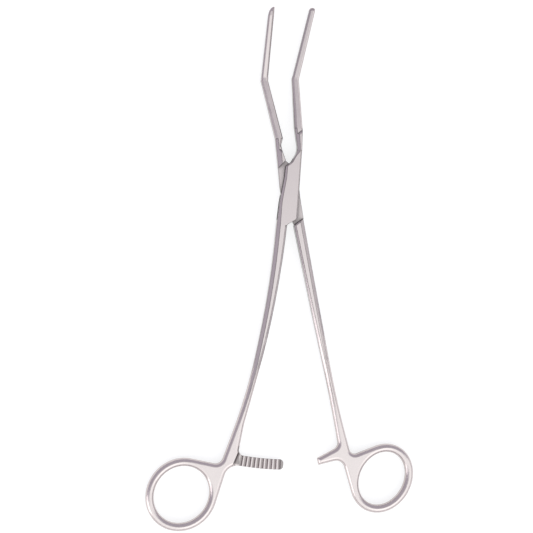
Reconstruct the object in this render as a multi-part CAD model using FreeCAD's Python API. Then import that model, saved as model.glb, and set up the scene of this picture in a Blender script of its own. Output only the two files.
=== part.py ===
import FreeCAD, Part
import math
import os

# Bronchus clamp: two forged steel halves that cross in a box lock and turn on one flush pin.
# Millimetres and degrees. The clamp lies flat: X to the right, Y along the clamp towards the jaws,
# Z up, with the origin on the pin's axis at the back face of the lock.
# Each half is drawn in the pose of the closed clamp, with the clamp's long axis on Y, and is then
# swung out by half of the rest opening. The box half has the right jaw and the left shank, the
# tongue half has the left jaw and the right shank.

V = FreeCAD.Vector

# Pose: how far the halves stand apart at rest
REST_OPENING = 10.7

# Box lock
LOCK_THICKNESS = 6.0
CHEEK_THICKNESS = 1.8
TONGUE_FACE_CLEARANCE = 0.05
PIN_DIAMETER = 3.2
PIN_RUNNING_CLEARANCE = 0.05
BOX_LEFT_TOP = 3.35
BOX_LEFT_WAIST = 3.4
BOX_LEFT_WAIST_HEIGHT = 6.8
BOX_LEFT_FOOT = 4.45
BOX_LEFT_FOOT_DOWN = 4.0
BOX_RIGHT_TOP = 3.25
BOX_RIGHT_FOOT = 4.15
BOX_NOTCH_HEIGHT = 14.3
BOX_NOTCH_SLANT = 2.4
BOX_NOTCH_OFFSET = 0.8
BOX_FOOT = 11.0
CROTCH_HEIGHT = 14.2
CROTCH_RADIUS = 0.6
SLOT_TOP = 15.9
SLOT_FOOT = 14.2
SLOT_TILT_TOP = 36.0
SLOT_TILT_FOOT = 22.0
BEVEL_SLOPE = 0.69
CHEEK_BEVEL_TOP = 0.85
CHEEK_BEVEL_FOOT = 1.05
CHEEK_EDGE_BEVEL = 0.45
CHEEK_END_BEVEL = 0.25
CHEEK_END_SLOPE = 0.4
SCOOP_HEIGHT = 19.5
SCOOP_OFFSET = 1.5
SCOOP_RADIUS = 7.0
SCOOP_BEVEL = 1.3
SCOOP_FOOT_BEVEL = 0.45
BOX_STEP_BITE_HEIGHT = 25.6
BOX_STEP_BACK_HEIGHT = 29.0

# Tongue and the shoulders of its half
TONGUE_LEFT = 4.4
TONGUE_LEFT_TAPER = 0.3
TONGUE_LEFT_FOOT = 2.2
TONGUE_RIGHT = 4.4
TONGUE_RIGHT_TAPER = 0.1
TONGUE_RIGHT_TOP = 2.5
TONGUE_WAIST_RADIUS = 6.0
TONGUE_TOP_OUT = 0.75
TONGUE_TOP = 13.4
TONGUE_TOP_RADIUS = 0.8
TONGUE_FOOT_OUT = 0.9
TONGUE_FOOT = 15.0
TONGUE_OVERLAP = 1.0
SHOULDER_TOP = 15.0
SHOULDER_TOP_DROP = 3.2
SHOULDER_TOP_BITE = 0.9
SHOULDER_TOP_BACK = 4.45
SHOULDER_FOOT = 11.6
SHOULDER_FOOT_RIGHT = 5.1
SHOULDER_TILT = 31.0
SHOULDER_RUN = 4.7
SHOULDER_HEEL = 0.6
SHOULDER_BEVEL = 0.6
BLOCK_BEVEL = 1.9
BLOCK_SCOOP_BEVEL = 1.4
TONGUE_SCOOP_HEIGHT = 22.0
TONGUE_SCOOP_OFFSET = 2.35
TONGUE_SCOOP_RADIUS = 2.5
TONGUE_BLOCK_HEIGHT = 19.2
TONGUE_BLOCK_OFFSET = 2.0
TONGUE_STEP_BITE_HEIGHT = 19.6
TONGUE_STEP_BACK_HEIGHT = 20.4

# Jaw arms, from the lock to the elbow
ELBOW_HEIGHT = 51.4
BOX_ARM_HEIGHT = 29.5
BOX_ARM_BITE = -1.0
BOX_ARM_WIDTH = 3.55
TONGUE_ARM_HEIGHT = 25.0
TONGUE_ARM_BITE = -1.25
TONGUE_ARM_WIDTH = 3.35
ARM_ELBOW_WIDTH = 3.1
ARM_FOOT_THICKNESS = 4.9
ARM_ELBOW_THICKNESS = 4.0
ARM_BITE_FACET = 1.0
BOX_ARM_BACK_FACET = 0.5
TONGUE_ARM_BACK_FACET = 1.2
STEP_COVE = 0.3
STEP_CREST = 0.8
ARM_SEAM = 0.06

# Jaws, from the elbow to the tip
JAW_LENGTH = 33.0
JAW_LEAN = 9.4
JAW_HEEL_OFFSET = 5.05
JAW_HEEL_GAP = 1.3
JAW_TIP_GAP = 0.1
JAW_TIP_WIDTH = 2.7
JAW_TIP_THICKNESS = 3.4
JAW_BACK_FACET = 0.7
JAW_BITE_FACET = 0.85
NOSE_LENGTH = 1.4
NOSE_INSET = 1.15
TIP_FACE_INSET = 1.1
CHISEL_LENGTH = 3.9
CHISEL_BACK_INSET = 2.2
CHISEL_BITE_INSET = 0.1
SERRATION_PITCH = 1.0
SERRATION_DEPTH = 0.25
SERRATION_MARGIN = 2.0

# Shanks, from the lock to the handles
SHANK_TOP = 14.6
BOX_SHANK_OFFSET = 2.4
TONGUE_SHANK_OFFSET = 2.8
SHANK_TOP_WIDTH = 4.6
SHANK_WAIST_ABOVE_RATCHET = 29.8
SHANK_WAIST_WIDTH = 2.95
SHANK_FOOT_ABOVE_RATCHET = 7.8
BOX_SHANK_FOOT_OFFSET = 13.6
TONGUE_SHANK_FOOT_OFFSET = 14.0
BOX_SHANK_BOW = 2.8
TONGUE_SHANK_BOW = 0.25
SHANK_OUTER_FACET = 1.55
SHANK_INNER_FACET = 0.8

# Handles, placed from the upper edge of the ratchet bar
HANDLE_TOP_ABOVE_RATCHET = 14.8
HANDLE_TOP_WIDTH = 3.75
HANDLE_THICKNESS = 4.4
HANDLE_EDGE_RADIUS = 1.75
RING_BAND = 3.7
BOX_RING_OUT = 35.1
BOX_RING_BELOW_RATCHET = 19.4
BOX_RING_HOLE_LENGTH = 26.4
BOX_RING_HOLE_WIDTH = 24.0
BOX_RING_TILT = 123.0
BOX_NECK_OUT = 19.0
BOX_NECK_BELOW_RATCHET = 4.5
BOX_NECK_RADIUS = 3.5
BOX_WEB_OUT = 15.6
BOX_WEB_RADIUS = 6.0
TONGUE_RING_OUT = 30.8
TONGUE_RING_BELOW_RATCHET = 12.0
TONGUE_RING_HOLE_LENGTH = 25.0
TONGUE_RING_HOLE_WIDTH = 20.0
TONGUE_RING_TILT = 55.0
TONGUE_NECK_OUT = 17.6
TONGUE_NECK_BELOW_RATCHET = 0.4
TONGUE_NECK_RADIUS = 2.5
TONGUE_WEB_OUT = 13.5
TONGUE_WEB_RADIUS = 4.0

# Ratchet: a long toothed bar on the box half, a short toothed stub on the tongue half
RATCHET_RADIUS = 119.8
RATCHET_WIDTH = 4.7
RATCHET_REACH = 9.4
RATCHET_TIP_RADIUS = 1.8
RATCHET_ROOT_OUT = 11.6
RATCHET_ROOT_RADIUS = 2.5
RATCHET_PITCH = 1.93
RATCHET_TEETH = 10
RATCHET_TIP_LAND = 1.2
STUB_REACH = 1.95
STUB_TIP_WIDTH = 3.3
STUB_TIP_RADIUS = 0.4
STUB_ROOT_OUT = 12.2
STUB_ROOT_ABOVE_RATCHET = 4.2
STUB_ROOT_WIDTH = 5.7
STUB_ROOT_RADIUS = 3.0
STUB_TEETH = 4
STUB_TIP_LAND = 0.4
TOOTH_DEPTH = 0.55
TOOTH_LAND = 0.65
TOOTH_CLEARANCE = 0.2
WALL_OUT = 12.3
WALL_TILT = 17.0
WALL_COVE = 2.0

MID = LOCK_THICKNESS / 2
STEP_SPREAD = (LOCK_THICKNESS - ARM_FOOT_THICKNESS) / 2 / BEVEL_SLOPE + ARM_SEAM
SLOT_THICKNESS = LOCK_THICKNESS - 2 * CHEEK_THICKNESS
TONGUE_THICKNESS = SLOT_THICKNESS - 2 * TONGUE_FACE_CLEARANCE
RATCHET_MIDDLE = RATCHET_RADIUS + RATCHET_WIDTH / 2
HANDLE_TOP = RATCHET_RADIUS - HANDLE_TOP_ABOVE_RATCHET
SHANK_FOOT = RATCHET_RADIUS - SHANK_FOOT_ABOVE_RATCHET
SHANK_WAIST = RATCHET_RADIUS - SHANK_WAIST_ABOVE_RATCHET
STUB_ROOT_DOWN = RATCHET_RADIUS - STUB_ROOT_ABOVE_RATCHET
BOX_COURSE = (BOX_SHANK_OFFSET, BOX_SHANK_FOOT_OFFSET, BOX_SHANK_BOW)
TONGUE_COURSE = (TONGUE_SHANK_OFFSET, TONGUE_SHANK_FOOT_OFFSET, TONGUE_SHANK_BOW)
FAR = 10.0
NUDGE = 0.3


def between(start, end, share):
    return start + (end - start) * share


def turned(x, y, degrees):
    """Plan direction (x, y) turned about Z."""
    angle = math.radians(degrees)
    return V(x * math.cos(angle) - y * math.sin(angle), x * math.sin(angle) + y * math.cos(angle), 0)


def corner(x, y, radius=0.0):
    """A corner of a plan outline, and the radius that turns it."""
    return V(x, y, 0), radius


def arc_points(before, here, after, radius):
    """Start, middle and end of the arc that turns a corner, touching both of its lines."""
    back = (before - here).normalize()
    ahead = (after - here).normalize()
    half_angle = back.getAngle(ahead) / 2
    setback = radius / math.tan(half_angle)
    middle = here + (back + ahead).normalize() * (radius / math.sin(half_angle) - radius)
    return here + back * setback, middle, here + ahead * setback


def outline_edges(corners):
    """Lines and tangent arcs through the corners; the first and the last stay sharp."""
    edges = []
    start = corners[0][0]
    for before, here, after in zip(corners, corners[1:], corners[2:]):
        point, radius = here
        if radius == 0:
            edges.append(Part.LineSegment(start, point).toShape())
            start = point
            continue
        arc_start, arc_middle, arc_end = arc_points(before[0], point, after[0], radius)
        edges.append(Part.LineSegment(start, arc_start).toShape())
        edges.append(Part.Arc(arc_start, arc_middle, arc_end).toShape())
        start = arc_end
    edges.append(Part.LineSegment(start, corners[-1][0]).toShape())
    return edges


def upright(wire, bottom, top):
    """Upright solid on a closed plan wire, from one height to another."""
    solid = Part.Face(wire).extrude(V(0, 0, top - bottom))
    solid.translate(V(0, 0, bottom))
    return solid


def prism(corners, bottom=0.0, top=LOCK_THICKNESS):
    """Upright solid on a closed outline of corners; the first corner stays sharp."""
    return upright(Part.Wire(outline_edges(corners + corners[:1])), bottom, top)


def section(y, left, right, thickness, left_facet, right_facet, crown):
    """Cross-section of a bar at one height of the clamp: a slab whose four long edges are facets.

    A facet is (width, depth). Crown 0 is a flat facet and crown 1 a quarter round."""
    low, high = MID - thickness / 2, MID + thickness / 2
    (left_width, left_depth), (right_width, right_depth) = left_facet, right_facet
    facets = [
        (V(left, y, low + left_depth), V(left + left_width, y, low)),
        (V(right - right_width, y, low), V(right, y, low + right_depth)),
        (V(right, y, high - right_depth), V(right - right_width, y, high)),
        (V(left + left_width, y, high), V(left, y, high - left_depth)),
    ]
    quarter_round = (math.sqrt(2) - 1) / 2
    edges = []
    for (start, end), (following, _) in zip(facets, facets[1:] + facets[:1]):
        chord = end - start
        bulge = V(chord.z, 0, -chord.x) * (crown * quarter_round)
        facet = Part.Arc(start, (start + end) / 2 + bulge, end) if crown else Part.LineSegment(start, end)
        edges.append(facet.toShape())
        edges.append(Part.LineSegment(end, following).toShape())
    return Part.Wire(edges)


def cut_both_faces(solid, cutter):
    """Cuts the same shape out of the front and the back."""
    return solid.cut(cutter).cut(cutter.mirror(V(0, 0, MID), V(0, 0, 1)))


def bevel(solid, path, slope=BEVEL_SLOPE, lead=NUDGE):
    """Grinds a bevel along an edge of the lock, on the front and the back.

    The path is a list of (point, width), with the material to the left of its way. The cut is
    mitred at its inner points, and runs on by the lead at its start and past its end."""
    points = [point for point, width in path]
    runs = [(after - before).normalize() for before, after in zip(points, points[1:])]
    triangles = []
    for index, (point, width) in enumerate(path):
        before, after = runs[max(index - 1, 0)], runs[min(index, len(runs) - 1)]
        across = (before + after).normalize()
        outward = V(across.y, -across.x, 0) / math.cos(before.getAngle(after) / 2)
        shift = V(0, 0, 0)
        if index == 0:
            shift = after * -lead
        if index == len(runs):
            shift = before * NUDGE
        inner = point + shift - outward * width + V(0, 0, LOCK_THICKNESS)
        fall = outward * width - V(0, 0, width * slope)
        high = inner - fall * 0.3
        low = inner + fall * 1.5
        triangles.append(Part.makePolygon([high, low, V(low.x, low.y, high.z), high]))
    return cut_both_faces(solid, Part.makeLoft(triangles, True, True))


def grind_arm(solid, bite_end, back_end, top):
    """Grinds both faces down to the arm's thickness, above a slanting ramp across the bar.

    The ramp has a gentle crest at the block and falls steeply to the arm."""
    left, right = sorted((bite_end, back_end), key=lambda end: end.x)
    run = (right - left).normalize()
    left, right = left - run * FAR, right + run * FAR
    foot_height = MID + ARM_FOOT_THICKNESS / 2
    step = LOCK_THICKNESS - foot_height
    wires = []
    for height, ramp in ((foot_height, 0.0), (LOCK_THICKNESS - step / 2, STEP_COVE),
                         (LOCK_THICKNESS + step / 2, STEP_COVE + 2 * STEP_CREST)):
        shift = V(0, -ramp, height)
        plan = [left + shift, right + shift, V(right.x, top + FAR, height), V(left.x, top + FAR, height)]
        wires.append(Part.makePolygon(plan + plan[:1]))
    return cut_both_faces(solid, Part.makeLoft(wires, True, True))


def bite_point(height, side):
    """Point on a jaw's bite face at a height above the elbow; side is -1 for the left jaw."""
    gap = between(JAW_HEEL_GAP, JAW_TIP_GAP, height / JAW_LENGTH)
    line = -JAW_HEEL_OFFSET + height * math.tan(math.radians(JAW_LEAN))
    return V(line + side * gap / 2, ELBOW_HEIGHT + height, 0)


def serration_grooves(side):
    """Row of V grooves that cut the fine cross teeth into a bite face."""
    grooves = []
    count = int((JAW_LENGTH - 2 * SERRATION_MARGIN) / SERRATION_PITCH) + 1
    for index in range(count):
        root = bite_point(SERRATION_MARGIN + index * SERRATION_PITCH, side)
        root += V(side * SERRATION_DEPTH, 0, 0)
        mouth = root - V(side * 2 * SERRATION_DEPTH, 0, 0)
        grooves.append(prism([(root, 0.0), (mouth - V(0, SERRATION_PITCH, 0), 0.0),
                              (mouth + V(0, SERRATION_PITCH, 0), 0.0)]))
    return Part.makeCompound(grooves)


def jaw(side, foot, nose_length, bite_inset, back_inset):
    """Jaw arm, elbow, straight jaw and shaped tip in one loft, with a serrated bite face.

    Side is -1 for the left jaw and 1 for the right one. Foot is the arm's (height, bite, width,
    back facet)."""

    def across(y, bite, width, thickness, bite_facet, back_facet):
        left, right = sorted((bite, bite + side * width))
        facets = [(bite_facet, bite_facet * BEVEL_SLOPE), (back_facet, back_facet * BEVEL_SLOPE)]
        return section(y, left, right, thickness, *facets[::side], 0.5)

    foot_height, foot_bite, foot_width, foot_back_facet = foot
    heel = bite_point(0, side)
    stations = [
        across(foot_height, foot_bite, foot_width, ARM_FOOT_THICKNESS, ARM_BITE_FACET, foot_back_facet),
        across(heel.y, heel.x, ARM_ELBOW_WIDTH, ARM_ELBOW_THICKNESS, JAW_BITE_FACET, JAW_BACK_FACET),
    ]
    for turn in (0, 30, 55, 75, 90):
        rise = math.sin(math.radians(turn))
        inset = 1 - math.cos(math.radians(turn))
        point = bite_point(JAW_LENGTH - nose_length * (1 - rise), side)
        width = JAW_TIP_WIDTH - inset * (bite_inset + back_inset)
        facet_share = width / JAW_TIP_WIDTH
        stations.append(across(point.y, point.x + side * inset * bite_inset, width,
                               JAW_TIP_THICKNESS - 2 * inset * TIP_FACE_INSET,
                               JAW_BITE_FACET * facet_share, JAW_BACK_FACET * facet_share))
    return Part.makeLoft(stations, True, True).cut(serration_grooves(side))


def shank_offset(down, course):
    """Distance of a shank's centre line from the clamp's axis, at a distance below the pin.

    Course is (offset at the top, offset at the foot, bow towards the axis)."""
    top_offset, foot_offset, bow = course
    share = (down - SHANK_TOP) / (SHANK_FOOT - SHANK_TOP)
    return between(top_offset, foot_offset, share) - bow * 4 * share * (1 - share)


def shank_width(down):
    if down < SHANK_WAIST:
        return between(SHANK_TOP_WIDTH, SHANK_WAIST_WIDTH, (down - SHANK_TOP) / (SHANK_WAIST - SHANK_TOP))
    return between(SHANK_WAIST_WIDTH, HANDLE_TOP_WIDTH, (down - SHANK_WAIST) / (HANDLE_TOP - SHANK_WAIST))


def shank(top, course, handle_solid):
    """Shank on the right, from a distance below the pin to the top of its handle, facets turning round."""
    stations = []
    for share in (0, 0.2, 0.4, 0.6, 0.8, 0.9):
        down = between(top, HANDLE_TOP, share)
        centre = shank_offset(down, course)
        half = shank_width(down) / 2
        rounding = share ** 3
        outer = between(SHANK_OUTER_FACET, HANDLE_EDGE_RADIUS, rounding)
        inner = between(SHANK_INNER_FACET, HANDLE_EDGE_RADIUS, rounding)
        depth_share = between(BEVEL_SLOPE, 1, rounding)
        stations.append(section(-down, centre - half, centre + half,
                                between(LOCK_THICKNESS, HANDLE_THICKNESS, share),
                                (inner, inner * depth_share), (outer, outer * depth_share),
                                rounding))
    handle_top = max(handle_solid.Faces, key=lambda face: face.CenterOfMass.y)
    return Part.makeLoft(stations + [handle_top.OuterWire], True, False)


def ellipse(centre, half_length, half_width, tilt):
    long_end = centre + turned(half_length, 0, tilt)
    short_end = centre + turned(0, half_width, tilt)
    return Part.Ellipse(long_end, short_end, centre)


def tangent_angle(centre, half_length, half_width, tilt, outside, side):
    """Where a line from an outside point touches an ellipse, as the ellipse's own parameter."""
    local = turned(outside.x - centre.x, outside.y - centre.y, -tilt)
    u, v = local.x / half_length, local.y / half_width
    return math.atan2(v, u) + side * math.acos(1 / math.hypot(u, v))


def handle(top_centre, ring, neck, web, blank_corners):
    """Finger ring, neck and ratchet blank, on the right, with all edges rounded.

    Ring is (out, distance below the ratchet's edge, hole length, hole width, tilt). Neck is the corner
    between shank and ring on
    the outside, web the corner between ring and ratchet, and blank_corners go on from there round the
    ratchet blank to the shank."""
    out, below_ratchet, hole_length, hole_width, tilt = ring
    centre = V(out, -RATCHET_RADIUS - below_ratchet, 0)
    rim = (centre, hole_length / 2 + RING_BAND, hole_width / 2 + RING_BAND, tilt)
    outer_top = corner(top_centre + HANDLE_TOP_WIDTH / 2, -HANDLE_TOP)
    inner_top = corner(top_centre - HANDLE_TOP_WIDTH / 2, -HANDLE_TOP)
    neck_touch = tangent_angle(*rim, neck[0], -1)
    web_touch = tangent_angle(*rim, web[0], 1)
    while neck_touch < web_touch:
        neck_touch += 2 * math.pi
    rim_arc = Part.ArcOfEllipse(ellipse(*rim), web_touch, neck_touch)
    edges = outline_edges([outer_top, neck, (rim_arc.EndPoint, 0.0)])
    edges.append(rim_arc.toShape())
    edges += outline_edges([(rim_arc.StartPoint, 0.0), web] + blank_corners + [inner_top, outer_top])
    wire = Part.Wire(Part.sortEdges(edges)[0])
    low, high = MID - HANDLE_THICKNESS / 2, MID + HANDLE_THICKNESS / 2
    hole = Part.Wire(ellipse(centre, hole_length / 2, hole_width / 2, tilt).toShape())
    blank = upright(wire, low, high).cut(upright(hole, low - NUDGE, high + NUDGE))
    flat_edges = [edge for edge in blank.Edges
                  if edge.BoundBox.ZLength < 1e-6 and edge.BoundBox.YMin < -HANDLE_TOP - 1e-3]
    return blank.makeFillet(HANDLE_EDGE_RADIUS, flat_edges)


def toothed(blank, tip_x, tip_land, teeth):
    """Mills the front half of the ratchet blank away, up to a coved wall, and cuts saw teeth across it.

    The blank points left from its shank. Each tooth rises gently from the tip side, has a narrow land
    and drops steeply on its own shank's side, so that it holds a tooth that has climbed over it."""
    teeth_top = MID - TOOTH_CLEARANCE / 2
    above = MID + HANDLE_THICKNESS
    wall = V(WALL_OUT, -RATCHET_RADIUS, 0)
    wall_top, wall_foot = (wall + turned(0, reach, WALL_TILT) for reach in (FAR, -RATCHET_WIDTH * 1.5))
    relief = prism([(wall_top, 0.0), (V(tip_x - FAR, wall_top.y, 0), 0.0),
                    (V(tip_x - FAR, wall_foot.y, 0), 0.0), (wall_foot, 0.0)], teeth_top, above)
    wall_edge = max((edge for edge in relief.Edges if edge.BoundBox.ZMax < above - NUDGE),
                    key=lambda edge: edge.CenterOfMass.x)
    bar = blank.cut(relief.makeFillet(WALL_COVE, [wall_edge]))
    mouth = V(RATCHET_PITCH - TOOTH_LAND, 0, TOOTH_DEPTH) * 1.3
    first = math.degrees((tip_x + tip_land) / RATCHET_MIDDLE)
    step = math.degrees(RATCHET_PITCH / RATCHET_MIDDLE)
    root = V(0, -RATCHET_RADIUS + FAR / 2, teeth_top - TOOTH_DEPTH)
    profile = [root, root + mouth, root + V(0, 0, mouth.z), root]
    groove = Part.Face(Part.makePolygon(profile)).extrude(V(0, -RATCHET_WIDTH - FAR, 0))
    grooves = []
    for index in range(teeth):
        copy = groove.copy()
        copy.rotate(V(0, 0, 0), V(0, 0, 1), first + index * step)
        grooves.append(copy)
    return bar.cut(Part.makeCompound(grooves))


def arc_corner(radius, from_x, to_x):
    """Corner that, turned by the radius, lays an arc about the pin between two places on it."""
    start, end = math.asin(from_x / radius), math.asin(to_x / radius)
    reach = radius / math.cos((start - end) / 2)
    middle = (start + end) / 2
    return corner(reach * math.sin(middle), -reach * math.cos(middle), radius)


def box_handle():
    """Handle of the box half, drawn on the right: large ring and the long ratchet bar."""
    outside, inside = RATCHET_RADIUS + RATCHET_WIDTH, RATCHET_RADIUS
    straight = 3.0
    arc_from, arc_to = BOX_WEB_OUT - BOX_WEB_RADIUS - straight, straight - RATCHET_REACH
    tip = -RATCHET_REACH
    bar = [arc_corner(outside, arc_from, arc_to),
           corner(tip, -math.sqrt(outside ** 2 - tip ** 2), RATCHET_TIP_RADIUS),
           corner(tip, -math.sqrt(inside ** 2 - tip ** 2), RATCHET_TIP_RADIUS),
           arc_corner(inside, arc_from, arc_to),
           corner(RATCHET_ROOT_OUT, -math.sqrt(inside ** 2 - RATCHET_ROOT_OUT ** 2), RATCHET_ROOT_RADIUS)]
    blank = handle(
        shank_offset(HANDLE_TOP, BOX_COURSE),
        (BOX_RING_OUT, BOX_RING_BELOW_RATCHET, BOX_RING_HOLE_LENGTH, BOX_RING_HOLE_WIDTH, BOX_RING_TILT),
        corner(BOX_NECK_OUT, -RATCHET_RADIUS - BOX_NECK_BELOW_RATCHET, BOX_NECK_RADIUS),
        corner(BOX_WEB_OUT, -math.sqrt(outside ** 2 - BOX_WEB_OUT ** 2) - NUDGE, BOX_WEB_RADIUS),
        bar)
    return toothed(blank, tip, RATCHET_TIP_LAND, RATCHET_TEETH)


def stub_handle():
    """Handle of the tongue half, on the right: smaller ring and the short ratchet stub."""
    root_foot = -STUB_ROOT_DOWN - STUB_ROOT_WIDTH
    tip_top = V(STUB_REACH, -RATCHET_RADIUS, 0)
    tip_foot = tip_top + turned(0, -STUB_TIP_WIDTH, 7)
    blank = handle(
        shank_offset(HANDLE_TOP, TONGUE_COURSE),
        (TONGUE_RING_OUT, TONGUE_RING_BELOW_RATCHET, TONGUE_RING_HOLE_LENGTH, TONGUE_RING_HOLE_WIDTH,
         TONGUE_RING_TILT),
        corner(TONGUE_NECK_OUT, -RATCHET_RADIUS - TONGUE_NECK_BELOW_RATCHET, TONGUE_NECK_RADIUS),
        corner(TONGUE_WEB_OUT, root_foot, TONGUE_WEB_RADIUS),
        [(tip_foot, STUB_TIP_RADIUS), (tip_top, STUB_TIP_RADIUS),
         corner(STUB_ROOT_OUT, -STUB_ROOT_DOWN, STUB_ROOT_RADIUS)])
    stub = toothed(blank, STUB_REACH, STUB_TIP_LAND, STUB_TEETH)
    return stub.mirror(V(0, 0, MID), V(0, 0, 1))


def slot():
    """Window that the tongue passes through, between two end walls that lean across the box."""
    low, high = CHEEK_THICKNESS, LOCK_THICKNESS - CHEEK_THICKNESS
    top_run = turned(FAR, 0, -SLOT_TILT_TOP)
    foot_run = turned(FAR, 0, -SLOT_TILT_FOOT)
    top, foot = V(0, SLOT_TOP, 0), V(0, -SLOT_FOOT, 0)
    return prism([(foot - foot_run, 0.0), (foot + foot_run, 0.0), (top + top_run, 0.0),
                  (top - top_run, 0.0)], low, high)


def box_block():
    """The lock's body on the box half, from the shank up to the step at the jaw arm."""
    left_shank = -(BOX_SHANK_OFFSET + SHANK_TOP_WIDTH / 2)
    right_shank = left_shank + SHANK_TOP_WIDTH
    notch = V(-BOX_NOTCH_OFFSET, BOX_NOTCH_HEIGHT, 0)
    left_top = V(-BOX_LEFT_TOP, BOX_NOTCH_HEIGHT - BOX_NOTCH_SLANT, 0)
    left_waist = V(-BOX_LEFT_WAIST, BOX_LEFT_WAIST_HEIGHT, 0)
    left_foot = V(-BOX_LEFT_FOOT, -BOX_LEFT_FOOT_DOWN, 0)
    left_end = V(left_shank, -SHANK_TOP, 0)
    right_foot = V(BOX_RIGHT_FOOT, -BOX_FOOT, 0)
    right_top = V(BOX_RIGHT_TOP, SCOOP_HEIGHT, 0)
    crotch = V(right_shank, -CROTCH_HEIGHT, 0)
    scoop = V(SCOOP_OFFSET, SCOOP_HEIGHT, 0)
    arm_bite = V(BOX_ARM_BITE, BOX_ARM_HEIGHT, 0)
    arm_back = V(BOX_ARM_BITE + BOX_ARM_WIDTH, BOX_ARM_HEIGHT, 0)
    block = prism([(left_end, 0.0), (V(right_shank, -SHANK_TOP, 0), 0.0), (crotch, CROTCH_RADIUS),
                   (right_foot, 0.0), (right_top, 0.0), (arm_back, 0.0), (arm_bite, 0.0),
                   (scoop, SCOOP_RADIUS), (notch, 0.0), (left_top, 0.0), (left_waist, 0.0),
                   (left_foot, 0.0)])
    block = bevel(block, [(left_top, CHEEK_BEVEL_TOP),
                          (left_waist, between(CHEEK_BEVEL_TOP, CHEEK_BEVEL_FOOT, 0.35)),
                          (left_foot, CHEEK_BEVEL_FOOT), (left_end, SHANK_OUTER_FACET)])
    block = bevel(block, [(right_foot, CHEEK_EDGE_BEVEL), (right_top, CHEEK_EDGE_BEVEL)])
    block = bevel(block, [(between(crotch, right_foot, 0.1), CHEEK_END_BEVEL / 3),
                          (right_foot, CHEEK_END_BEVEL)], CHEEK_END_SLOPE, 0.0)
    scoop_top, scoop_middle, scoop_foot = arc_points(arm_bite, scoop, notch, SCOOP_RADIUS)
    block = bevel(block, [(arm_bite, ARM_BITE_FACET + STEP_SPREAD), (scoop_top, SCOOP_BEVEL),
                          (scoop_middle, SCOOP_BEVEL), (scoop_foot, SCOOP_FOOT_BEVEL),
                          (notch, SCOOP_FOOT_BEVEL), (left_top, SCOOP_FOOT_BEVEL)])
    step_bite = V(BOX_ARM_BITE, BOX_STEP_BITE_HEIGHT, 0)
    step_back = V(BOX_ARM_BITE + BOX_ARM_WIDTH, BOX_STEP_BACK_HEIGHT, 0)
    return grind_arm(block, step_bite, step_back, BOX_ARM_HEIGHT).cut(slot())


def box_half():
    """Right jaw, box with two cheeks, left shank, long ratchet bar and left ring, in one forging."""
    grip = box_handle()
    bar = shank(SHANK_TOP, BOX_COURSE, grip)
    pieces = [
        jaw(1, (BOX_ARM_HEIGHT, BOX_ARM_BITE, BOX_ARM_WIDTH, BOX_ARM_BACK_FACET),
            NOSE_LENGTH, NOSE_INSET, NOSE_INSET),
        bar.fuse(grip).mirror(V(0, 0, 0), V(1, 0, 0)),
    ]
    return box_block().multiFuse(pieces).cut(pin_solid(0.0)).removeSplitter()


def tongue():
    """Thin plate that crosses through the box from shoulder to shoulder."""
    return prism([
        corner(-SHOULDER_TOP_BACK, SHOULDER_TOP + 1.0),
        corner(-TONGUE_LEFT, PIN_DIAMETER, TONGUE_WAIST_RADIUS),
        corner(-TONGUE_LEFT + TONGUE_LEFT_TAPER, -TONGUE_LEFT_FOOT, TONGUE_WAIST_RADIUS / 2),
        corner(TONGUE_FOOT_OUT, -TONGUE_FOOT),
        corner(TONGUE_FOOT_OUT + TONGUE_OVERLAP / 2, -TONGUE_FOOT - TONGUE_OVERLAP),
        corner(TONGUE_RIGHT, -TONGUE_FOOT - TONGUE_OVERLAP),
        corner(SHOULDER_FOOT_RIGHT, -SHOULDER_FOOT),
        corner(TONGUE_RIGHT, -TONGUE_LEFT_FOOT, TONGUE_WAIST_RADIUS),
        corner(TONGUE_RIGHT - TONGUE_RIGHT_TAPER, TONGUE_RIGHT_TOP, TONGUE_WAIST_RADIUS / 2),
        corner(TONGUE_TOP_OUT, TONGUE_TOP, TONGUE_TOP_RADIUS),
        corner(-SHOULDER_TOP_BITE, SHOULDER_TOP),
        corner(-SHOULDER_TOP_BITE - TONGUE_OVERLAP / 2, SHOULDER_TOP + TONGUE_OVERLAP),
    ], MID - TONGUE_THICKNESS / 2, MID + TONGUE_THICKNESS / 2)


def jaw_block():
    """Thick block between the tongue's upper shoulder and the left jaw arm."""
    back_foot = V(-SHOULDER_TOP_BACK, SHOULDER_TOP - SHOULDER_TOP_DROP, 0)
    back_top = V(TONGUE_ARM_BITE - TONGUE_ARM_WIDTH, TONGUE_ARM_HEIGHT, 0)
    arm_bite = V(TONGUE_ARM_BITE, TONGUE_ARM_HEIGHT, 0)
    bite_corner = V(-TONGUE_BLOCK_OFFSET, TONGUE_BLOCK_HEIGHT, 0)
    bite_foot = V(-SHOULDER_TOP_BITE, SHOULDER_TOP, 0)
    scoop = V(-TONGUE_SCOOP_OFFSET, TONGUE_SCOOP_HEIGHT, 0)
    block = prism([(back_foot, 0.0), (bite_foot, 0.0), (bite_corner, 0.0), (scoop, TONGUE_SCOOP_RADIUS),
                   (arm_bite, 0.0), (back_top, 0.0)])
    block = bevel(block, [(back_top, TONGUE_ARM_BACK_FACET + STEP_SPREAD), (back_foot, BLOCK_BEVEL)])
    block = bevel(block, [(bite_corner, BLOCK_SCOOP_BEVEL / 3), (scoop, BLOCK_SCOOP_BEVEL),
                          (arm_bite, ARM_BITE_FACET + STEP_SPREAD)], BEVEL_SLOPE, 0.0)
    step_bite = V(TONGUE_ARM_BITE, TONGUE_STEP_BITE_HEIGHT, 0)
    step_back = V(TONGUE_ARM_BITE - TONGUE_ARM_WIDTH, TONGUE_STEP_BACK_HEIGHT, 0)
    return grind_arm(block, step_bite, step_back, TONGUE_ARM_HEIGHT)


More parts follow.
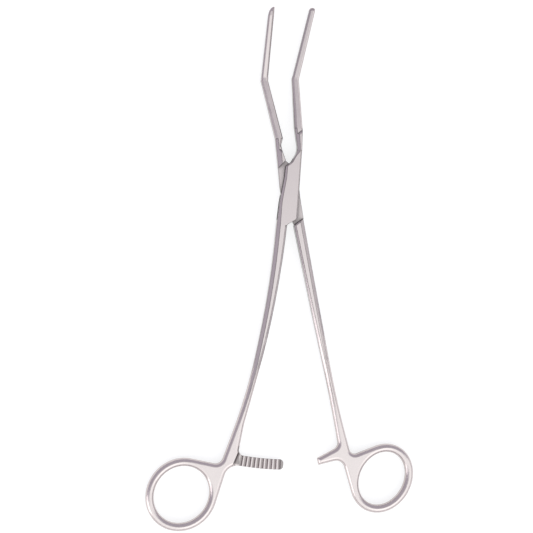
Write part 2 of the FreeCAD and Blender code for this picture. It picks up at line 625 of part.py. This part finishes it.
def tongue_shank(grip):
    """Right shank, cut off above by the slanting lower shoulder."""
    bar = shank(SHOULDER_FOOT - TONGUE_OVERLAP, TONGUE_COURSE, grip)
    shoulder = V(SHOULDER_FOOT_RIGHT, -SHOULDER_FOOT, 0)
    run = turned(-1, 0, SHOULDER_TILT)
    inner = shoulder + run * SHOULDER_RUN
    heel = inner - V(SHOULDER_HEEL, SHOULDER_HEEL, 0)
    above = prism([(shoulder - run * FAR, 0.0), (inner, 0.0), (heel, 0.0),
                   (heel - V(FAR, 0, 0), 0.0), (V(-FAR, FAR, 0), 0.0), (V(2 * FAR, FAR, 0), 0.0)],
                  -NUDGE, LOCK_THICKNESS + NUDGE)
    return bevel(bar.cut(above), [(shoulder, SHOULDER_BEVEL), (inner, SHOULDER_BEVEL)])


def tongue_half():
    """Left jaw, tongue, right shank, short ratchet stub and right ring, in one forging."""
    grip = stub_handle()
    pieces = [
        tongue(),
        jaw(-1, (TONGUE_ARM_HEIGHT, TONGUE_ARM_BITE, TONGUE_ARM_WIDTH, TONGUE_ARM_BACK_FACET),
            CHISEL_LENGTH, CHISEL_BITE_INSET, CHISEL_BACK_INSET),
        tongue_shank(grip),
        grip,
    ]
    return jaw_block().multiFuse(pieces).cut(pin_solid(PIN_RUNNING_CLEARANCE)).removeSplitter()


def pin_solid(clearance):
    """The pin, or with a clearance the hole that it runs in; flush with both cheeks."""
    return Part.makeCylinder(PIN_DIAMETER / 2 + clearance, LOCK_THICKNESS)


def main():
    os.makedirs("parts", exist_ok=True)
    upright_axis = V(0, 0, 1)
    nodes = {
        "box_half": box_half().rotate(V(0, 0, 0), upright_axis, -REST_OPENING / 2),
        "tongue_half": tongue_half().rotate(V(0, 0, 0), upright_axis, REST_OPENING / 2),
        "lock_pin": pin_solid(0.0),
    }
    for name, shape in nodes.items():
        print(name, shape.ShapeType, len(shape.Solids), shape.isValid(), round(shape.Volume, 1))
        shape.exportStep("parts/" + name + ".step")


main()
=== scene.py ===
import math

import bpy
from mathutils import Matrix, Vector

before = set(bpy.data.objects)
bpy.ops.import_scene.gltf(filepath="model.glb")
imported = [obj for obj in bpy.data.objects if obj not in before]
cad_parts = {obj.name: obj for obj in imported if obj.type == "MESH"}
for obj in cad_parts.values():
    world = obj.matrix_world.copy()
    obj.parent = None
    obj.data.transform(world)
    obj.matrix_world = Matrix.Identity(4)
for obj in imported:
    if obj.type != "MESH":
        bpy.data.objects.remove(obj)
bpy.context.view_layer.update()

# Lengths are in metres, apart from those whose names say something else

# Photograph: millimetres per pixel, the frame's size in pixels, and the pixel where the pivot is
MM_PER_PX = 0.45
FRAME_PX = 533
PIVOT_PX = (290.0, 193.5)

# Camera, and the plane half way through the clamp's thickness, at which it is aimed
CAMERA_ROLL = math.radians(0.45)
CAMERA_LEAN = math.radians(7)
CAMERA_DISTANCE = 1.0
CAMERA_CLIP_END = 20.0
SENSOR_WIDTH_MM = 36.0
MIDDLE_PLANE = 0.003

# Floor
FLOOR_HALF = 3.0
FLOOR_LEVEL = -0.0004
FLOOR_COLOUR = (0.35, 0.35, 0.35, 1.0)
FLOOR_ROUGHNESS = 0.9
FLOOR_GLOW = 0.78

# Softboxes: name, place, the point that each is turned to, width and height, and power
SOFTBOXES = (
    ("key", (0.5, -0.9, 1.3), (-0.01, -0.035, 0.0), (0.8, 0.8), 0.8),
    ("side", (-0.30, -0.225, 0.13), (0.018, -0.1, 0.003), (0.16, 0.26), 0.155))

# Room: the side of its lit wall, the seam between the walls, and the colours of each wall by
# height, from straight down (-1) to straight up (1)
ROOM_STRENGTH = 2.0
LIT_SIDE = (0.35, -0.94, 0.0)
WALL_SEAM = (-0.10, 0.10)
DIM_WALL = ((-1.0, (0.45, 0.45, 0.50)), (0.0, (0.50, 0.49, 0.56)), (0.35, (0.60, 0.58, 0.66)),
            (0.75, (0.50, 0.49, 0.57)), (1.0, (0.60, 0.585, 0.65)))
LIT_WALL = ((-1.0, (0.45, 0.45, 0.50)), (0.05, (0.45, 0.45, 0.50)), (0.22, (0.7, 0.7, 0.75)),
            (0.48, (1.28, 1.30, 1.32)), (1.0, (1.34, 1.40, 1.42)))

# Pieces: name, turn of the grain, start of the noise, and lean of the jaw's face to the right
PIECES = (
    ("box_half", math.radians(8), 0.013, 0.08),
    ("tongue_half", math.radians(-9), 0.047, 0.32),
    ("lock_pin", math.radians(8), 0.029, 0.0))

# Steel: its noises (scale, detail and roughness), the bumps that they make (strength and height),
# and the colours and roughness that the cloudiness varies
GRAIN_STRETCH = (9000.0, 130.0, 9000.0)
GRAIN_NOISE = (1.0, 3.0, 0.6)
CLOUD_NOISE = (260.0, 4.0, 0.55)
SATIN_NOISE = (5200.0, 2.0, 0.6)
GRAIN_BUMP = (0.09, 0.00004)
SATIN_BUMP = (0.06, 0.00003)
DARKER_STEEL = (0.63, 0.56, 0.55, 1.0)
LIGHTER_STEEL = (0.68, 0.61, 0.595, 1.0)
CLOUD_SPAN = (0.3, 0.7)
ROUGHNESS_SPAN = (0.16, 0.24)
BLACK = (0.0, 0.0, 0.0, 1.0)
WHITE = (1.0, 1.0, 1.0, 1.0)

# Creases: the open sky above a point, and the shade that it gives the steel
SHADING_SAMPLES = 8
CREASE_REACH = 0.01
SKY_SPAN = (0.38, 0.97)
CREASE_SHADES = (0.24, 1.0)

# Edges: how far they are rounded in the shading and watched for painted shade lines, and the
# strength of a painted shade line by the cosine of the bend. No edge is touched at the pin, which
# is ground flush
EDGE_RADIUS = 0.00024
SHADE_LINE_RADIUS = 0.00045
SHADE_LINE_BEND = (0.998, 0.98)
SHADE_LINE_STRENGTH = (0.0, 0.75)

# Masks: where each one starts, and where it is full
PAST_PIN = (0.0022, 0.0024)         # from the pin's axis
CLEAR_OF_TEETH = (0.0010, 0.0012)   # from the middle plane, to both sides
AMONG_TEETH = (0.0008, 0.0007)
BARS_BELOW = (-0.1050, -0.1055)     # along y
BARS_WITHIN = (0.0222, 0.0218)      # along x, to both sides
BAR_END_WITHIN = (0.0044, 0.0040)
NOT_FLAT = (0.97, 0.96)             # z of the face's normal, up or down
NOT_STEEP = (0.6, 0.7)
STEEP = (0.5, 0.4)
COVE_WITHIN = (0.0046, 0.0040)      # from the ratchet's root
COVE_LEFT_OF = (-0.0217, -0.0221)   # along x
COVE_BELOW = (0.0050, 0.0047)       # along z
JAWS_ABOVE = (0.0515, 0.0525)       # along y
RATCHET_ROOT = (-0.0222, -0.1178, 0.004)
DROP_HEIGHT = (1.0, 1.0, 0.0)       # leaves a place's x and y

# Shades of the ratchet: its teeth's steep faces and sloped flanks, the bar's end, and the cove
STEEP_SHADE = 1.0
FLANK_SHADE = 0.5
END_SHADE = 0.5
COVE_SHADE = 0.45


class Graph:
    """A node tree, emptied and built anew."""

    def __init__(self, tree):
        tree.nodes.clear()
        self.nodes, self.links = tree.nodes, tree.links

    def feed(self, socket, value):
        """Links a socket to an output, or sets a plain value on it."""
        if isinstance(value, bpy.types.NodeSocket):
            self.links.new(value, socket)
        else:
            socket.default_value = value

    def add(self, kind, *values, **named):
        """Adds a shader node. A named value goes to the property or socket of that name, and
        the others go to the node's sockets in order."""
        node = self.nodes.new("ShaderNode" + kind)
        for name, value in named.items():
            if hasattr(node, name):
                setattr(node, name, value)
            else:
                self.feed(node.inputs[name.replace("_", " ")], value)
        for socket, value in zip(node.inputs, values):
            self.feed(socket, value)
        return node

    def number(self, operation, *values):
        return self.add("Math", *values, operation=operation).outputs["Value"]

    def measure(self, operation, *vectors):
        """A length, distance or dot product."""
        return self.add("VectorMath", *vectors, operation=operation).outputs["Value"]

    def vector(self, operation, *values, **named):
        return self.add("VectorMath", *values, operation=operation, **named).outputs["Vector"]

    def ranged(self, value, span, to=(0.0, 1.0)):
        """A span of a value spread to another span, and held at its ends."""
        return self.add("MapRange", Value=value, From_Min=span[0], From_Max=span[1],
                        To_Min=to[0], To_Max=to[1]).outputs["Result"]

    def times(self, first, *others):
        for other in others:
            first = self.number("MULTIPLY", first, other)
        return first

    def noise(self, vector, scale, detail, roughness):
        return self.add("TexNoise", Vector=vector, Scale=scale, Detail=detail,
                        Roughness=roughness).outputs["Fac"]

    def bumped(self, normal, height, strength, distance):
        return self.add("Bump", Normal=normal, Height=height, Strength=strength,
                        Distance=distance).outputs["Normal"]

    def mixed(self, kind, first, second, share):
        return self.add("Mix", data_type=kind, A=first, B=second, Factor=share).outputs["Result"]


def steel(name, grain_turn, seed, jaw_lean):
    """Satin-ground stainless steel: fine grinding lines, faint cloudiness, and painted shade in
    its creases.
    """
    material = bpy.data.materials.new(name)
    material.use_nodes = True
    graph = Graph(material.node_tree)
    place = graph.add("TexCoord").outputs["Object"]
    normal = graph.add("NewGeometry").outputs["Normal"]
    x, y, z = graph.add("SeparateXYZ", place).outputs

    # Grinding lines run along the instrument: noise that is stretched about seventyfold
    turned = graph.add("Mapping", Vector=place, Rotation=(0.0, 0.0, grain_turn),
                       Location=(seed, seed * 2.0, seed * 3.0)).outputs["Vector"]
    stretched = graph.add("Mapping", Vector=turned, Scale=GRAIN_STRETCH).outputs["Vector"]
    grain = graph.noise(stretched, *GRAIN_NOISE)
    cloud = graph.noise(turned, *CLOUD_NOISE)
    satin = graph.noise(turned, *SATIN_NOISE)
    rough = graph.ranged(cloud, CLOUD_SPAN, ROUGHNESS_SPAN)
    tint = graph.mixed("RGBA", DARKER_STEEL, LIGHTER_STEEL, cloud)

    # Painted shade: crevices and undersides are darkened in the colour by the open sky above
    # them, and so are the lines between two facets
    sky = graph.add("AmbientOcclusion", samples=SHADING_SAMPLES, Distance=CREASE_REACH)
    shade = graph.ranged(sky.outputs["AO"], SKY_SPAN, CREASE_SHADES)
    from_pin = graph.measure("LENGTH", graph.vector("MULTIPLY", place, DROP_HEIGHT))
    rounded, shade_line_normal = (
        graph.add("Bevel", samples=SHADING_SAMPLES,
                  Radius=graph.ranged(from_pin, PAST_PIN, (0.0, radius))).outputs["Normal"]
        for radius in (EDGE_RADIUS, SHADE_LINE_RADIUS))
    depth = graph.number("ABSOLUTE", graph.number("SUBTRACT", z, MIDDLE_PLANE))
    # Painted shade lines: where the bend between two facets is sharp, the colour is darkened
    bend = graph.measure("DOT_PRODUCT", shade_line_normal, normal)
    shade_line = graph.times(graph.ranged(bend, SHADE_LINE_BEND, SHADE_LINE_STRENGTH),
                       graph.ranged(depth, CLEAR_OF_TEETH))
    shade = graph.times(shade, graph.ranged(shade_line, (0.0, 1.0), (1.0, 0.0)))

    # Painted shade on the ratchet: its milled flanks, its end and the cove at its root are held
    # at fixed darker shades in place of the crease shade, and its teeth's steep faces keep the
    # full tone, without painted shade
    tilt = graph.number("ABSOLUTE", graph.add("SeparateXYZ", normal).outputs["Z"])
    aside = graph.number("ABSOLUTE", x)
    bars = graph.times(graph.ranged(y, BARS_BELOW), graph.ranged(aside, BARS_WITHIN))
    toothed = graph.times(bars, graph.ranged(depth, AMONG_TEETH))
    sloped = graph.times(graph.ranged(tilt, NOT_FLAT), graph.ranged(tilt, NOT_STEEP))
    from_root = graph.measure("DISTANCE", place, RATCHET_ROOT)
    cove = graph.times(graph.ranged(from_root, COVE_WITHIN), graph.ranged(x, COVE_LEFT_OF),
                       graph.ranged(z, COVE_BELOW))
    for mask, level in (
            (graph.times(toothed, graph.ranged(tilt, STEEP)), STEEP_SHADE),
            (graph.times(toothed, sloped), FLANK_SHADE),
            (graph.times(bars, graph.ranged(aside, BAR_END_WITHIN)), END_SHADE),
            (cove, COVE_SHADE)):
        shade = graph.mixed("FLOAT", shade, level, mask)

    # The jaws' faces are ground with a slight lean to the right, the left jaw's the more
    lean = graph.vector("SCALE", (jaw_lean, 0.0, 0.0), Scale=graph.ranged(y, JAWS_ABOVE))
    face = graph.vector("NORMALIZE", graph.vector("ADD", rounded, lean))
    ground = graph.bumped(face, grain, *GRAIN_BUMP)
    shader = graph.add("BsdfPrincipled", Metallic=1.0, Roughness=rough,
                       Base_Color=graph.mixed("RGBA", BLACK, tint, shade),
                       Normal=graph.bumped(ground, satin, *SATIN_BUMP))
    graph.add("OutputMaterial", Surface=shader.outputs["BSDF"])
    return material


def floor_material():
    material = bpy.data.materials.new("studio_floor")
    material.use_nodes = True
    graph = Graph(material.node_tree)
    shader = graph.add("BsdfPrincipled", Base_Color=FLOOR_COLOUR, Roughness=FLOOR_ROUGHNESS,
                       Emission_Color=WHITE, Emission_Strength=FLOOR_GLOW)
    graph.add("OutputMaterial", Surface=shader.outputs["BSDF"])
    return material


def wall(room, height, stops):
    """A wall's colour by height, in straight steps between the stops."""
    levels = room.add("ValToRGB", room.ranged(height, (-1.0, 1.0)))
    elements = levels.color_ramp.elements
    while len(elements) < len(stops):
        elements.new(0.5)
    for element, (stop, colour) in zip(elements, stops):
        element.position = (stop + 1) / 2
        element.color = [channel / ROOM_STRENGTH for channel in colour] + [1.0]
    return levels.outputs["Color"]


def metres(pixels):
    return pixels * MM_PER_PX / 1000


# Clamp
for piece, grain_turn, seed, jaw_lean in PIECES:
    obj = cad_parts[piece]
    obj.data.materials.clear()
    obj.data.materials.append(steel(piece + "_steel", grain_turn, seed, jaw_lean))

# Floor
bpy.ops.mesh.primitive_plane_add(size=2 * FLOOR_HALF, location=(0, 0, FLOOR_LEVEL))
floor = bpy.context.object
floor.name = "floor"
floor.data.materials.append(floor_material())

# Softboxes
for name, place, faced, size, power in SOFTBOXES:
    light = bpy.data.lights.new(name, "AREA")
    light.shape = "RECTANGLE"
    light.size, light.size_y = size
    light.energy = power
    softbox = bpy.data.objects.new(name, light)
    bpy.context.scene.collection.objects.link(softbox)
    softbox.location = place
    softbox.rotation_euler = (Vector(faced) - Vector(place)).to_track_quat("-Z", "Y").to_euler()

# Room: one half of it is a lit wall, the other a dim mauve one, and they meet overhead
world = bpy.data.worlds.new("studio")
bpy.context.scene.world = world
world.use_nodes = True
room = Graph(world.node_tree)
direction = room.add("TexCoord").outputs["Generated"]
height = room.add("SeparateXYZ", direction).outputs["Z"]
lit_share = room.ranged(room.measure("DOT_PRODUCT", direction, LIT_SIDE), WALL_SEAM)
walls = room.mixed("RGBA", wall(room, height, DIM_WALL), wall(room, height, LIT_WALL), lit_share)
studio = room.add("Background", Color=walls, Strength=ROOM_STRENGTH)
room.add("OutputWorld", Surface=studio.outputs["Background"])

# Camera: above the clamp and a little to its left, with a long lens and the photograph's framing
camera_data = bpy.data.cameras.new("camera")
camera_data.sensor_width = SENSOR_WIDTH_MM
camera_data.lens = SENSOR_WIDTH_MM * CAMERA_DISTANCE / metres(FRAME_PX)
camera_data.clip_end = CAMERA_CLIP_END
camera = bpy.data.objects.new("camera", camera_data)
bpy.context.scene.collection.objects.link(camera)
roll = Matrix.Rotation(CAMERA_ROLL, 4, "Z")
middle = FRAME_PX / 2
offset = Vector((metres(middle - PIVOT_PX[0]), metres(PIVOT_PX[1] - middle), 0))
aim_point = Matrix.Translation((0, 0, MIDDLE_PLANE)) @ roll @ offset
lean = Matrix.Rotation(-CAMERA_LEAN, 4, "Y") @ roll
away = Matrix.Translation((0, 0, CAMERA_DISTANCE))
camera.matrix_world = Matrix.Translation(aim_point) @ lean @ away
bpy.context.scene.camera = camera

bpy.context.scene.view_settings.view_transform = "Standard"
